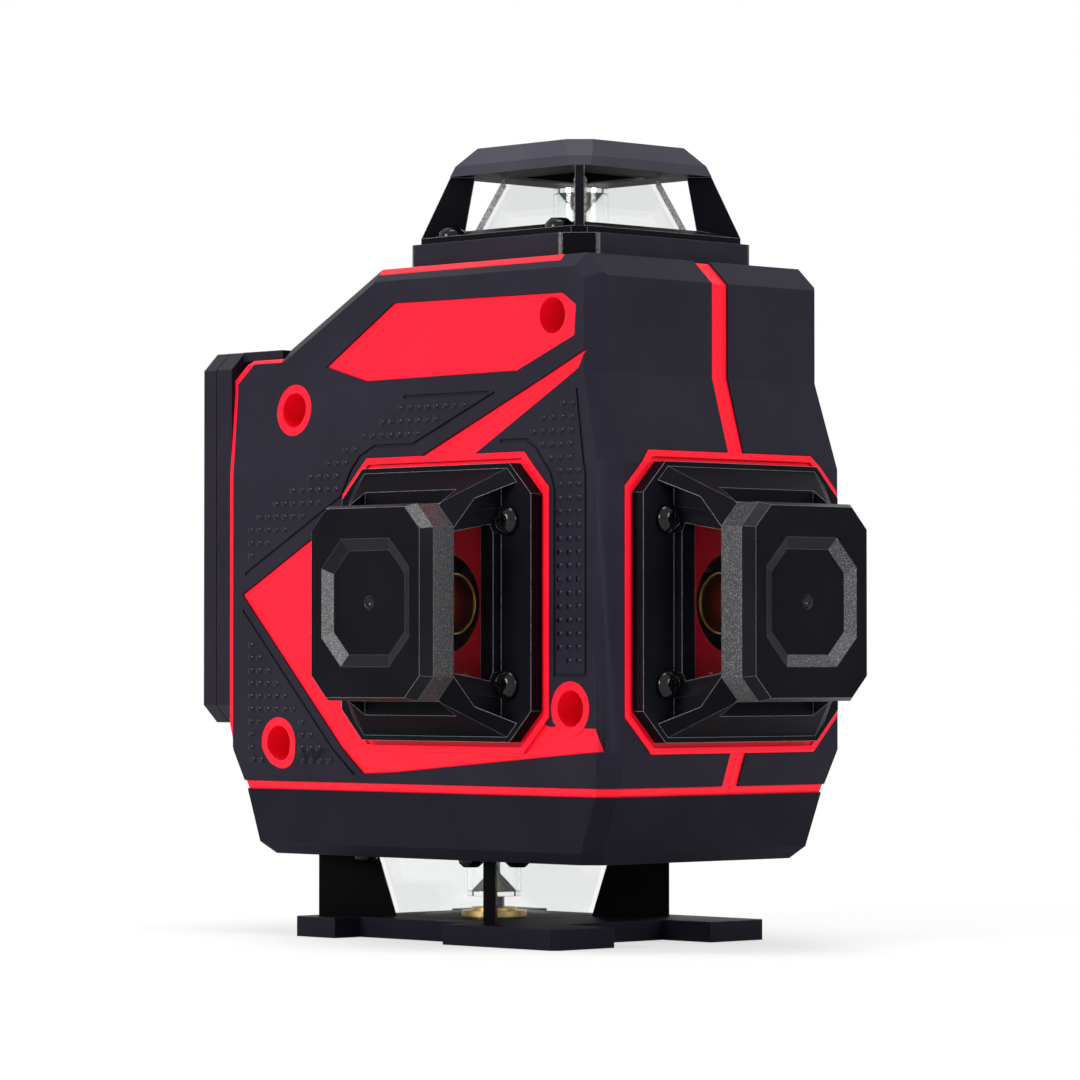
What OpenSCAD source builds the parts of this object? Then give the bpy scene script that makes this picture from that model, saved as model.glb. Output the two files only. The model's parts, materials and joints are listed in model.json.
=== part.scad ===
// Cross-line laser level with four cone-mirror windows: a two-shell housing on a small tripod base,
// a self-levelling pendulum inside, and a battery pack that slides out of the back.
// Origin: mouth of the tripod thread, on the plane that the base stands on. -Y is the front.

/* [Housing] */
// Half width of the widest band of the housing
body_half_w = 33.3; // [33:0.1:33.8]
// Half width of the housing above the flare
top_half_w = 32; // [31.7:0.1:32.4]
// Half width of the housing at its joint with the bottom cover
low_half_w = 31.2; // [31:0.1:31.5]
// Distance of the lower front face from the tripod axis
front_reach = 66.7; // [66.3:0.1:67.2]
// How far the front face steps back above the flare
front_step = 5; // [4:0.5:6]
// Height of the housing's top face
body_top = 133; // [132.5:0.1:133.5]
// Thickness of the hard shell wall
shell_wall = 2; // [1.6:0.1:2.4]
// Depth of the rubber skin that is moulded over the shell
grip_depth = 1.4; // [1.2:0.1:1.6]
// How far the bare shell lies below the rubber skin
shell_sink = 0.4; // [0.2:0.1:0.6]
// Place of the joint between the two shells, left of the middle is negative
seam_x = 1.7; // [0:0.1:2]
// Diameter of a grip dot
dot_d = 1.1; // [0.8:0.1:1.3]
// Distance between grip dots
dot_pitch = 2.58; // [2.5:0.02:2.8]

/* [Base] */
// Width of the base plate
base_w = 59; // [58:0.5:60]
// Thickness of the base plate
base_t = 4; // [3.5:0.5:4.5]
// Radius of the tripod thread
tripod_r = 3.2; // [3.1:0.05:3.2]

/* [Windows] */
// Height of the two side windows' axes
window_z = 66.5; // [66:0.5:67]
// Distance of the left window's axis in front of the tripod axis
side_window_y = 21; // [20:0.5:22]
// Distance of the top window's axis in front of the tripod axis
top_window_y = 25; // [24.5:0.5:25.5]
// Width of a side window's flange
flange_w = 54; // [53:0.5:55]
// How far a side window stands out of the housing
hood_reach = 20.8; // [20:0.2:21.4]
// Thickness of the window glass
glass_t = 1.5; // [1.2:0.1:1.6]
// Overall height of the level
overall_z = 157; // [156.5:0.1:157.5]

/* [Pendulum] */
// Height of the gimbal's two axes
pivot_z = 113; // [112.5:0.5:113.5]
// Radius of a laser module
laser_r = 6; // [5.5:0.1:6]
// Radius of a gimbal pin
pin_r = 1.5; // [1.4:0.05:1.6]
// Radial play of a running fit
play = 0.05; // [0.03:0.01:0.08]

/* [Lock] */
// Height of the lock shaft
lock_z = 47; // [46.5:0.5:47.5]
// Lift of the lock plate over a quarter turn
lock_lift = 2.2; // [1.8:0.1:2.4]
// Radius of the lock knob
knob_r = 8.5; // [8:0.5:9]

/* [Battery] */
// Diameter of a battery cell
cell_d = 18.2; // [18:0.1:18.4]
// Length of a battery cell
cell_l = 65; // [64.5:0.1:65.2]

/* [Hidden] */

$fn = 48;
eps = 0.01;

red = [0.95, 0.09, 0.2];
black = [0.16, 0.15, 0.2];
rubber = [0.2, 0.19, 0.24];
steel = [0.75, 0.76, 0.78];
brass = [0.8, 0.63, 0.3];
clear = [0.85, 0.92, 0.95, 0.4];
alloy = [0.66, 0.67, 0.7];

// ---- heights and places that several pieces share
seam_z = 29.5;                         // joint of the shells and the bottom cover
band_z = 31.2;                         // top of the bare band over that joint
body_bottom = 16.5;
rear_y = 43.5;                         // back edge of the two shells
dock_rear_y = 48;                      // back edge of the back shell
low_bevel = 18.9;                      // top of the bevel round the bottom edge
low_flare = 38;                        // the sides are widest from here up to flare_low
flare_low = 93;
flare_high = 110;
top_front = front_reach - front_step;
top_chamfer = 2.7;
slope_front = [1.2, body_top];         // the keypad's slope, as (y, z)
slope_back = [28.5, 118.4];
deck_half_w = 26;
deck_z = 116.4;                        // top of the shells beside the deck
dock_low = 42.8;                       // lower edge of the back shell
block_top = 137.7;
sill_top = 140.7;
roof_z = 151.4;
block_w = 52.4;                        // width of the block under the top window
block_cut = 5.2;
rim_low = 131.8;                       // lower edge of the bare rim along the left top edge
cavity_inset = grip_depth + shell_wall;
pivot = [0, -top_window_y, pivot_z];

// ---- geometry helpers
function unit(v) = v / norm(v);

// Moves every edge of a counter-clockwise outline inwards by d and keeps its corners sharp
function inset(p, d) = let (n = len(p)) [for (i = [0:n - 1])
    let (u = unit(p[i] - p[(i + n - 1) % n]), v = unit(p[(i + 1) % n] - p[i]),
         a = [-u.y, u.x], b = [-v.y, v.x])
    p[i] + d * (a + b) / (1 + a * b)];

// Rectangle with its four corners cut at 45 degrees
function octagon(x0, x1, y0, y1, c) = [[x0 + c, y0], [x1 - c, y0], [x1, y0 + c], [x1, y1 - c],
    [x1 - c, y1], [x0 + c, y1], [x0, y1 - c], [x0, y0 + c]];

function oct(w, h, c) = octagon(-w / 2, w / 2, -h / 2, h / 2, c);

function rect(w, h) = [[-w / 2, -h / 2], [w / 2, -h / 2], [w / 2, h / 2], [-w / 2, h / 2]];

function shifted(p, v) = [for (q = p) q + v];

block_outline = shifted(oct(block_w, block_w, block_cut), [0, -top_window_y]);

// Solid through a stack of levels, each a height and an outline, with flat faces between them
module loft(levels) {
    n = len(levels[0][1]);
    m = len(levels);
    points = [for (l = levels) for (p = l[1]) [p.x, p.y, l[0]]];
    sides = [for (k = [0:m - 2]) for (i = [0:n - 1])
        [k * n + i, (k + 1) * n + i, (k + 1) * n + (i + 1) % n, k * n + (i + 1) % n]];
    foot = [for (i = [0:n - 1]) i];
    head = [for (i = [n - 1:-1:0]) (m - 1) * n + i];
    polyhedron(points, concat([foot], sides, [head]));
}

// An outline in (y, z) drawn out along X
module prism_x(outline, x0, x1) {
    translate([x0, 0, 0]) rotate([90, 0, 90]) linear_extrude(x1 - x0) polygon(outline);
}

// An outline in (x, z) drawn out along Y
module prism_y(outline, y0, y1) {
    translate([0, y1, 0]) rotate([90, 0, 0]) linear_extrude(y1 - y0) polygon(outline);
}

module prism_z(outline, z0, z1) {
    translate([0, 0, z0]) linear_extrude(z1 - z0) polygon(outline);
}

module box(x0, x1, y0, y1, z0, z1) {
    translate([x0, y0, z0]) cube([x1 - x0, y1 - y0, z1 - z0]);
}

module rod_x(y, z, r, x0, x1) {
    translate([x0, y, z]) rotate([0, 90, 0]) cylinder(r = r, h = x1 - x0);
}

module rod_y(x, z, r, y0, y1) {
    translate([x, y1, z]) rotate([90, 0, 0]) cylinder(r = r, h = y1 - y0);
}

module rod_z(x, y, r, z0, z1) {
    translate([x, y, z0]) cylinder(r = r, h = z1 - z0);
}

// Pan-head screw with a cross recess, its head's seat at the origin and its shank along -Z
module pan_screw(head_r, shank_r, length) {
    difference() {
        union() {
            cylinder(r = head_r, h = head_r * 0.35);
            translate([0, 0, head_r * 0.35]) cylinder(r1 = head_r, r2 = head_r * 0.62, h = head_r * 0.35);
            translate([0, 0, -length]) cylinder(r = shank_r, h = length);
        }
        for (a = [0, 90])
            rotate(a) translate([-head_r * 0.5, -head_r * 0.1, head_r * 0.3])
                cube([head_r, head_r * 0.2, head_r]);
    }
}

// ---- outer form of the housing
function body_section(half_w, y_front, y_back, c) = octagon(-half_w, half_w, -y_front, y_back, c);

body_levels = [
    [body_bottom, body_section(low_half_w - 2.4, front_reach - 9.4, 36.6, 3)],
    [low_bevel, body_section(low_half_w, front_reach - 6.9, 39.4, 3.4)],
    [seam_z, body_section(low_half_w, front_reach - 3, 43, 3.1)],
    [low_flare, body_section(body_half_w, front_reach, 45.9, 3.6)],
    [65.1, body_section(body_half_w, front_reach, rear_y + 10, 3.6)],
    [flare_low, body_section(body_half_w, front_reach, rear_y + 10, 3.6)],
    [flare_high, body_section(top_half_w, top_front, rear_y + 10, 3.4)],
    [body_top + 2, body_section(top_half_w, top_front, rear_y + 10, 3.4)]];

// Half width of the housing at height z
function side_x(z) = lookup(z, [[seam_z, low_half_w], [low_flare, body_half_w], [flare_low, body_half_w],
    [flare_high, top_half_w]]);

// Side view of the top: front chamfer, top, slope for the keypad and the low deck behind it
far = 80;
top_outline = [[-far, 0], [far, 0], [far, slope_back[1]], slope_back, slope_front,
    [5 - top_front, body_top], [-far, body_top - 4.6 * (far - top_front + 5) / 5]];

// The housing's outer form, moved inwards by d. It runs on past the open back of the shells.
module body_form(d) {
    edge_x = top_half_w - top_chamfer - 0.414 * d;
    run = 10;
    intersection() {
        loft([for (l = body_levels) [l[0], inset(l[1], d)]]);
        rotate([90, 0, 90]) loft([
            [-edge_x - run, inset(top_outline, d + run)],
            [-edge_x, inset(top_outline, d)],
            [edge_x, inset(top_outline, d)],
            [edge_x + run, inset(top_outline, d + run)]]);
    }
}

// The back edge of the shells, with its top corner cut off down from height z, seen from the side
function rear_cut(y, z) = [[-90, 0], [y, 0], [y, z - 3.9], [y - 5, z], [slope_back[0], z],
    [slope_back[0], 140], [-90, 140]];

module left_half(z0, y, z) {
    intersection() {
        box(-60, seam_x, -90, 60, z0, 140);
        prism_x(rear_cut(y, z), -60, 60);
    }
}

module right_half(z0, y, z) {
    intersection() {
        box(seam_x, 60, -90, 60, z0, 140);
        prism_x(rear_cut(y, z), -60, 60);
    }
}

// ---- outlines on the sides, as (y, z), and on the front, as (x, z)
window_outline = shifted(oct(flange_w + 4.8, 57.8, 7), [-side_window_y, window_z]);
window_seat = shifted(oct(flange_w + 0.4, 53.6, 6.1), [-side_window_y, window_z]);
front_outline = shifted(oct(flange_w + 4.8, 57.8, 7), [0, window_z]);
front_seat = shifted(oct(flange_w + 0.4, 53.6, 6.1), [0, window_z]);
top_panel = [[15.1, 114.1], [-4.9, 125.9], [9.3 - top_front, 125.5], [5.5 - top_front, 123],
    [5.9 - top_front, 117.2], [-40, 111.1], [3.3, 110.8]];
cross_band = [[-10.9, 94], [2.8 - top_front, 114.5], [4.8 - top_front, 110.9], [-27, 94]];
wing_panel = [[4, 33], [39.3, 68.8], [8, 85], [0, 60]];
low_panel = [[2.6 - front_reach, 38.2], [-5, 33.4], [4, 33], [12, 41.1], [0, 45], [-45, 45], [-50, 42.9],
    [3.8 - front_reach, 42.6]];
bare_outlines = [top_panel, cross_band, wing_panel, low_panel, window_outline];
screw_points = [[24.5, 105.8], [28.1, 38.9], [10.8 - front_reach, 46.3]];
panel_screw = [12.3 - top_front, 121.3];
all_screws = concat(screw_points, [panel_screw]);
stripe_half_w = 2.2;
bead_w = 1.3;                          // raised bead round a window
bead_h = 0.3;
groove_w = 0.6;
groove_d = 0.4;
ring_r_out = 5.2;                      // bare ring round a screw hole

// Where the hard shell shows through the rubber skin on one side
module bare_side(x0, x1) {
    for (p = bare_outlines)
        prism_x(p, x0, x1);
}

module bare_rings(x0, x1) {
    for (p = screw_points)
        rod_x(p.x, p.y, ring_r_out, x0, x1);
}

// Where it shows on the front: the window's outline and the stripe over the joint
module bare_front() {
    prism_y(front_outline, -90, -50);
    box(seam_x - stripe_half_w, seam_x + stripe_half_w, -90, -50.5, 20, 140);
}

// ---- fields of grip dots on a side, as (y, z) places
// How deep a point lies inside a convex outline, negative outside
function depth(p, q) = let (n = len(p))
    min([for (i = [0:n - 1]) let (u = p[(i + 1) % n] - p[i], w = q - p[i])
        (u.x * w.y - u.y * w.x) / norm(u)]);

function on_skin(q) = max([for (p = bare_outlines) depth(p, q)]) < -1
    && min([for (p = screw_points) norm(q - p)]) > ring_r_out + 1.5
    && off_line(q, upper_line) > 1.4;

// Distance of a point from a line of straight runs
function off_line(q, p) = min([for (i = [0:len(p) - 2]) let (d = p[i + 1] - p[i],
    t = max(0, min(1, (q - p[i]) * d / (d * d)))) norm(q - p[i] - t * d)]);

// A line of straight runs as a band of width w
function ribbon(p, w) = let (n = len(p),
    a = [for (i = [0:n - 2]) let (u = unit(p[i + 1] - p[i])) [-u.y, u.x]],
    m = [for (i = [0:n - 1]) i == 0 ? a[0] : i == n - 1 ? a[n - 2] : (a[i - 1] + a[i]) / (1 + a[i - 1] * a[i])])
    concat([for (i = [0:n - 1]) p[i] + w / 2 * m[i]], [for (i = [n - 1:-1:0]) p[i] - w / 2 * m[i]]);

// Fine lines in the rubber: under the upper dots, round the front dots, beside the wing and over the dots
upper_line = [[-34.2, 107.1], [-11.4, 97.7], [-0.3, 97.7], [3.8, 95.8], [6.2, 93.1], [9.1, 88], [38.4, 72.9]];
front_line = [[-36.4, 97.6], [-43.6, 97.6], [-46.4, 96.2], [-50.8, 91.1], [-51.8, 88], [-51.8, 52.6],
    [-60.2, 52.6], [-60.2, 90.7], [-56.7, 107]];
wing_line = [[39, 65.7], [6.5, 32.8]];
field_line = [[-8, 107.2], [-32.4, 107.2]];

// The dots stand on two grids, each given by one dot, inside convex outlines
side_grid = [36.5, 35.4];
front_grid = [-58.4, 55.3];
fields = [
    [side_grid, [[7.1, 98.6], [-8.5, 106.4], [-29.1, 106.4], [-10.2, 98.6]]],
    [side_grid, [[37.9, 73.2], [37.9, 83], [6.8, 98.6], [1, 98.6], [8, 89.5]]],
    [side_grid, [[10.3, 34.5], [37.6, 34.5], [37.6, 61.8]]],
    [front_grid, [[-59.7, 54.6], [-54.5, 54.6], [-51.9, 57.2], [-51.9, 92.8], [-59.7, 92.8]]],
    [front_grid, [[-57.2, 92.8], [-50.6, 92.8], [-43.2, 99], [-53, 105], [-57.2, 105]]]];
dot_h = 0.35;                          // how far a dot stands up
rear_rim = 1.4;                        // bare edge along the back of the shells
deck_rim = 0.8;                        // bare edge along the deck

// ---- base
foot_reach = [-47.8, 28];
thread_depth = 5.2;

module base_plate() {
    color(black) difference() {
        prism_z(octagon(-base_w / 2, base_w / 2, foot_reach[0], foot_reach[1], 1.4), 0, base_t);
        for (s = [-1, 1])
            scale([s, 1, 1]) box(base_w / 2 - 7, base_w, -16.5, 15.2, -1, base_t + 1);
        box(-13.4, 13.4, -60, foot_reach[0] + 13.3, -1, base_t + 1);
        box(-14.5, 14.5, foot_reach[1] - 5, 60, -1, base_t + 1);
        rod_z(0, 0, 5.4, -1, base_t + 1);
        for (a = [45:90:315]) rotate(a) {
            rod_z(fin_screw, 0, 0.8, -1, base_t + 1);
            rod_z(fin_screw, 0, 2.4, -1, 1.6);
        }
    }
}

module tripod_insert() {
    color(brass) difference() {
        union() {
            rod_z(0, 0, 5.4, 0, base_t);
            rod_z(0, 0, 6.6, base_t, base_t + 1.2);
            rod_z(0, 0, 4.6, base_t + 1.2, 5.8);
        }
        rod_z(0, 0, tripod_r, -1, thread_depth);
        translate([0, 0, -eps]) cylinder(r1 = tripod_r + 0.5, r2 = tripod_r, h = 0.5);
    }
}

fin_screw = 31;
module base_screws() {
    color(steel) for (a = [45:90:315])
        rotate(a) translate([fin_screw, 0, 0.1]) difference() {
            union() {
                cylinder(r = 2.2, h = 1.5);
                cylinder(r = 0.75, h = 8);
            }
            translate([0, 0, -eps]) cylinder(r = 1.1, h = 0.8, $fn = 6);
        }
}

// ---- lower window
low_flange_z = body_bottom;
low_flange_t = 1.5;
low_screws = [[21, 15.5], [14.5, 22]];
low_glass = [[base_t, 29.6], [low_flange_z, 34.8]];

module lower_window_frame() {
    color(black) difference() {
        union() {
            prism_z(oct(52, 52, 3), low_flange_z, low_flange_z + low_flange_t);
            for (a = [45:90:315]) rotate(a) box(18, 35.3, -1.2, 1.2, base_t, low_flange_z + eps);
        }
        loft([for (l = low_glass) [l[0], rect(l[1], l[1])]]);
        prism_z(rect(31, 31), low_flange_z - 1, low_flange_z + 2);
        for (a = [45:90:315]) rotate(a) rod_z(fin_screw, 0, 0.75, -1, 8.2);
        at_low_screws() rod_z(0, 0, 1.3, -1, 2);
    }
}

module lower_window_glass() {
    color(clear) difference() {
        loft([for (l = low_glass) [l[0], rect(l[1], l[1])]]);
        loft([for (l = low_glass)
            [l[0] + (l[0] == base_t ? -eps : eps), rect(l[1] - 2 * glass_t, l[1] - 2 * glass_t)]]);
    }
}

module at_low_screws() {
    for (p = low_screws, s = [-1, 1], t = [-1, 1])
        translate([s * p.x, t * p.y, low_flange_z]) children();
}

module lower_window_screws() {
    color(black) at_low_screws() mirror([0, 0, 1]) pan_screw(2.4, 1.3, 3.5);
}

// ---- bottom cover
cover_floor = 3.8;
cover_posts = [[-19, -50], [19, -50], [-19, 27], [19, 27]];

module bottom_cover() {
    color(black) difference() {
        union() {
            difference() {
                intersection() {
                    body_form(0);
                    box(-60, 60, -90, 60, body_bottom, seam_z);
                }
                intersection() {
                    body_form(2.6);
                    box(-60, 60, -90, 60, body_bottom + cover_floor, seam_z + 1);
                }
            }
            for (p = cover_posts) rod_z(p.x, p.y, 3.5, body_bottom + 2, seam_z);
            for (s = [-1, 1]) box(-24, 24, s * 22 - 0.8, s * 22 + 0.8, body_bottom + 2, seam_z - 4);
        }
        prism_z(oct(52.2, 52.2, 3.1), body_bottom - 1, body_bottom + low_flange_t);
        prism_z(rect(31, 31), body_bottom - 1, body_bottom + 4);
        for (p = cover_posts) rod_z(p.x, p.y, 1.2, body_bottom + 4, seam_z + 1);
        at_low_screws() rod_z(0, 0, 1.3, -1, 3.51);
    }
}

// ---- the two shells and the rubber skins over them
hood_inside = [31, 37];                // space inside a side window, at the housing
module_hole_r = 9.6;                   // room for a laser module that swings with the pendulum
keypad_size = [40, 17];
slope_angle = atan((slope_front[1] - slope_back[1]) / (slope_back[0] - slope_front[0]));

module on_slope() {
    translate([0, (slope_front[0] + slope_back[0]) / 2, (slope_front[1] + slope_back[1]) / 2])
        rotate([-slope_angle, 0, 0]) children();
}

// Everything that is cut out of both shells: inside, windows, top opening, keypad and dock
module shell_openings() {
    intersection() {
        body_form(cavity_inset);
        union() {
            box(-60, 60, -90, rear_y - shell_wall, 0, 140);
            box(-60, 60, -90, 60, dock_low, 140);
        }
    }
    box(-60, 60, -90, 60, 0, seam_z);
    rod_y(0, window_z, module_hole_r, -90, -50);
    box(-15.5, 15.5, -top_window_y - 15.5, -top_window_y + 15.5, 120, 140);
    on_slope() prism_z(oct(keypad_size.x, keypad_size.y, 2), -6, 6);
    box(-deck_half_w, deck_half_w, slope_back[0], 60, 100, 140);
    box(-24, 24, rear_y - 8, 60, dock_low, 115);
    place_front() at_hood_screws() translate([0, 0, -8]) cylinder(r = 1.3, h = 8);
}

post_x = top_half_w - 1.5;             // where the screw posts meet the side walls
post_r = 4.3;
head_x = 22;                           // seat of the screw heads, on the left
screw_l = 36;

module shell_posts(x0, x1) {
    for (p = all_screws) rod_x(p.x, p.y, post_r, x0, x1);
}

// Raised beads round the windows, from x0 to x1
module bead(outline) {
    difference() {
        polygon(outline);
        polygon(inset(outline, bead_w));
    }
}

module side_bead(x0, x1) {
    intersection() {
        difference() {
            body_form(-bead_h);
            body_form(grip_depth + 0.2);
        }
        translate([x0, 0, 0]) rotate([90, 0, 90]) linear_extrude(x1 - x0) bead(window_outline);
    }
}

module front_bead(x0, x1) {
    intersection() {
        difference() {
            body_form(-bead_h);
            body_form(grip_depth + 0.2);
        }
        translate([0, -50, 0]) rotate([90, 0, 0]) linear_extrude(40) bead(front_outline);
        box(x0, x1, -90, -50, 0, 140);
    }
}

// The strip of the left top edge where the shell comes up to the housing's full height
module left_rim(z) { box(-40, -block_w / 2 + 3, -50.5, slope_front[0], z, 140); }

// Red shell before its screw posts: the bare surface lies a little under the rubber skin
module shell_wall_solid() {
    difference() {
        body_form(shell_sink);
        shell_openings();
    }
}

module left_shell() {
    color(red) difference() {
        union() {
            difference() {
                intersection() {
                    shell_wall_solid();
                    left_half(seam_z, rear_y, deck_z);
                }
                left_grip_solid();
                rod_x(-side_window_y, window_z, module_hole_r, -60, -20);
                place_side() at_hood_screws() translate([0, 0, -8]) cylinder(r = 1.3, h = 8);
            }
            intersection() {
                body_form(0.1);
                bare_rings(-40, 1 - low_half_w);
            }
            side_bead(-40, 0);
            front_bead(-40, seam_x);
            difference() {
                intersection() {
                    body_form(0);
                    left_rim(rim_low);
                }
                prism_z(block_outline, 120, 140);
            }
            shell_posts(-post_x, seam_x);
        }
        for (p = all_screws) {
            rod_x(p.x, p.y, 3.5, -50, -head_x);
            rod_x(p.x, p.y, 1.6, -30, 10);
        }
    }
}

module right_shell() {
    color(red) difference() {
        union() {
            difference() {
                intersection() {
                    shell_wall_solid();
                    right_half(seam_z, rear_y, deck_z);
                }
                right_grip_solid();
            }
            side_bead(0, 40);
            front_bead(seam_x, 40);
            shell_posts(seam_x, post_x);
        }
        for (p = all_screws) rod_x(p.x, p.y, 1.3, 0, screw_l - head_x + 4);
        rod_x(guide_y, lock_z, 3.2, 20, 50);
    }
}

// Rubber skin, before it is split into its two halves
module grip_skin() {
    difference() {
        body_form(0);
        body_form(grip_depth);
        box(-60, 60, -90, 60, 0, band_z);
        bare_front();
        prism_z(block_outline, 120, 140);
        left_rim(rim_low);
        on_slope() prism_z(oct(keypad_size.x, keypad_size.y, 2), -6, 6);
        box(-deck_half_w, deck_half_w, slope_back[0], 60, 100, 140);
    }
}

module left_grip_solid() {
    difference() {
        intersection() {
            grip_skin();
            left_half(band_z, rear_y - rear_rim, deck_z - deck_rim);
        }
        bare_side(-60, 0);
        bare_rings(-60, 0);
    }
}

module right_grip_solid() {
    difference() {
        intersection() {
            grip_skin();
            right_half(band_z, rear_y - rear_rim, deck_z - deck_rim);
        }
        difference() {
            bare_side(0, 60);
            prism_x(inset(window_outline, bead_w + 1.1), -1, 61);
        }
        rod_x(guide_y, lock_z, 3.2, 20, 60);
    }
}

// Each dot is a short rod that grows out of the skin on one side, -1 for left
module dots(side) {
    for (f = fields, j = [-27:27], k = [0:27]) {
        q = f[0] + dot_pitch * [j, k];
        if (depth(f[1], q) > 0 && on_skin(q))
            translate([side * (side_x(q.y) - grip_depth / 2), q.x, q.y]) rotate([0, side * 90, 0])
                cylinder(d = dot_d, h = grip_depth / 2 + dot_h);
    }
}

// The fine lines, cut right through from x0 to x1
module grooves(x0, x1) {
    translate([x0, 0, 0]) rotate([90, 0, 90]) linear_extrude(x1 - x0)
        for (p = [upper_line, front_line, wing_line, field_line]) polygon(ribbon(p, groove_w));
}

module left_grip() {
    color(rubber) {
        difference() {
            left_grip_solid();
            difference() {
                grooves(-40, -20);
                body_form(groove_d);
            }
        }
        dots(-1);
    }
}

module right_grip() {
    color(rubber) {
        difference() {
            right_grip_solid();
            difference() {
                grooves(20, 40);
                body_form(groove_d);
            }
        }
        dots(1);
    }
}

module housing_screws() {
    color(steel) for (p = all_screws)
        translate([-head_x, p.x, p.y]) rotate([0, -90, 0]) pan_screw(2.8, 1.3, screw_l);
}

// ---- back shell: the dock for the battery pack, with the deck over it
dock = [22, 32.1, 44.4, 113.4];        // half width, front, bottom and top of the space for the pack
dock_wall = 1.6;
rear_outline = octagon(-top_half_w - 0.6, top_half_w + 0.6, dock_low, slope_back[1], 3.6);
board_posts = [[-18, 54], [18, 54], [-18, 94], [18, 94]];
contact_x = [-8, 8];
contact_z = 54;

module back_shell() {
    color(black) difference() {
        union() {
            prism_y(rear_outline, rear_y, dock_rear_y);
            box(-dock[0] - dock_wall, dock[0] + dock_wall, dock[1] - dock_wall, rear_y + eps,
                dock[2] - dock_wall, 115);
            box(-deck_half_w, deck_half_w, slope_back[0] + 3, rear_y + eps, 115 - eps, slope_back[1]);
            for (s = [-1, 1]) scale([s, 1, 1]) box(deck_half_w - eps, top_half_w - top_chamfer,
                slope_back[0] + 3, rear_y + eps, deck_z, slope_back[1]);
            box(-deck_half_w, deck_half_w, slope_back[0], slope_back[0] + 3 + eps, 115, slope_back[1] - 1.8);
            for (p = board_posts) rod_y(p.x, p.y, 2.6, 21.6, dock[1] - 1);
        }
        box(-dock[0], dock[0], dock[1], 60, dock[2], dock[3]);
        for (p = board_posts) rod_y(p.x, p.y, 1, 20, 27);
        for (x = contact_x) rod_y(x, contact_z, 1.5, 20, 40);
    }
}

module dock_contacts() {
    color(brass) for (x = contact_x) {
        rod_y(x, contact_z, 1.5, 29, dock[1] + 0.1);
        rod_y(x, contact_z, 2.4, 28.2, dock[1] - dock_wall);
    }
}

// ---- battery pack
pack_gap = 0.3;
pack = [dock[0] - pack_gap, dock[1] + 0.4, dock[2] + pack_gap, dock[3] - pack_gap];
pack_wall = 1.4;
pack_rear = 55.5;
lid_front = dock_rear_y + pack_gap;
port_at = [25.4, 60];                  // charging port in the lid, as (x, z)
port_hole = [3.3, 9];
port_wall = 0.4;
port_depth = 5.7;

// Upright slot with round ends, in (x, z), drawn out along Y behind the lid
module port(size, y0, y1) {
    translate([port_at.x, y1, port_at.y]) rotate([90, 0, 0]) linear_extrude(y1 - y0) {
        square([size.x, size.y - size.x], center = true);
        for (s = [-1, 1]) translate([0, s * (size.y - size.x) / 2]) circle(d = size.x);
    }
}

module battery_case() {
    color(black) difference() {
        union() {
            rotate([90, 0, 0]) mirror([0, 0, 1]) loft([[lid_front, rear_outline], [pack_rear - 3.4, rear_outline],
                [pack_rear, inset(rear_outline, 3.4)]]);
            box(-pack[0], pack[0], pack[1], lid_front + 1, pack[2], pack[3]);
        }
        box(-pack[0] + pack_wall, pack[0] - pack_wall, pack[1] + pack_wall, pack_rear - 1.6,
            pack[2] + pack_wall, pack[3] - pack_wall);
        for (s = [-1, 1]) scale([s, 1, 1]) box(23.2, 30.4, lid_front - 1, pack_rear - 2.3, 48, 113);
        for (x = contact_x) box(x - 3, x + 3, pack[1] - 1, pack[1] + 0.5, contact_z - 4, contact_z + 4);
        for (z = [98:4:110]) box(-14, 14, pack_rear - 0.8, pack_rear + 1, z, z + 1.6);
        port(port_hole + 2 * port_wall * [1, 1], 50, 60);
    }
}

module battery_cells() {
    color([0.2, 0.45, 0.75]) for (s = [-1, 1])
        rod_z(s * 10, (pack[1] + pack_wall + pack_rear - 1.6) / 2, cell_d / 2,
            pack[2] + pack_wall, pack[2] + pack_wall + cell_l);
}

module battery_terminals() {
    color(brass) for (x = contact_x)
        box(x - 3, x + 3, pack[1], pack[1] + 0.5, contact_z - 4, contact_z + 4);
}

module charge_port() {
    color(steel) {
        difference() {
            port(port_hole + 2 * port_wall * [1, 1], pack_rear - port_depth - 0.8, pack_rear);
            port(port_hole, pack_rear - port_depth, pack_rear + 1);
        }
        box(port_at.x - 0.35, port_at.x + 0.35, pack_rear - port_depth - eps, pack_rear - 0.8,
            port_at.y - 3.3, port_at.y + 3.3);
    }
}

// ---- block and window on top
module top_block() {
    color(black) difference() {
        prism_z(block_outline, body_top - shell_sink, block_top);
        prism_z(shifted(rect(31, 31), [0, -top_window_y]), 120, 140);
        for (s = [-1, 1], t = [-1, 1])
            rod_z(s * top_screw.x, t * top_screw.y - top_window_y, 1.3, body_top, block_top + 1);
    }
}

top_glass = [[sill_top - 1.5, 31], [roof_z, 21.6]];
top_web = [[23.3, 139], [40, 139], [40, roof_z + 1], [20.9, roof_z + 1]];
top_screw = [20.8, 15.2];
frame_levels = [[139.2, oct(47, 47, 2.2)], [roof_z, oct(39.5, 39.5, 2.8)], [153.4, oct(38.6, 38.6, 3.4)],
    [overall_z, oct(32.6, 32.6, 3.7)]];

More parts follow.
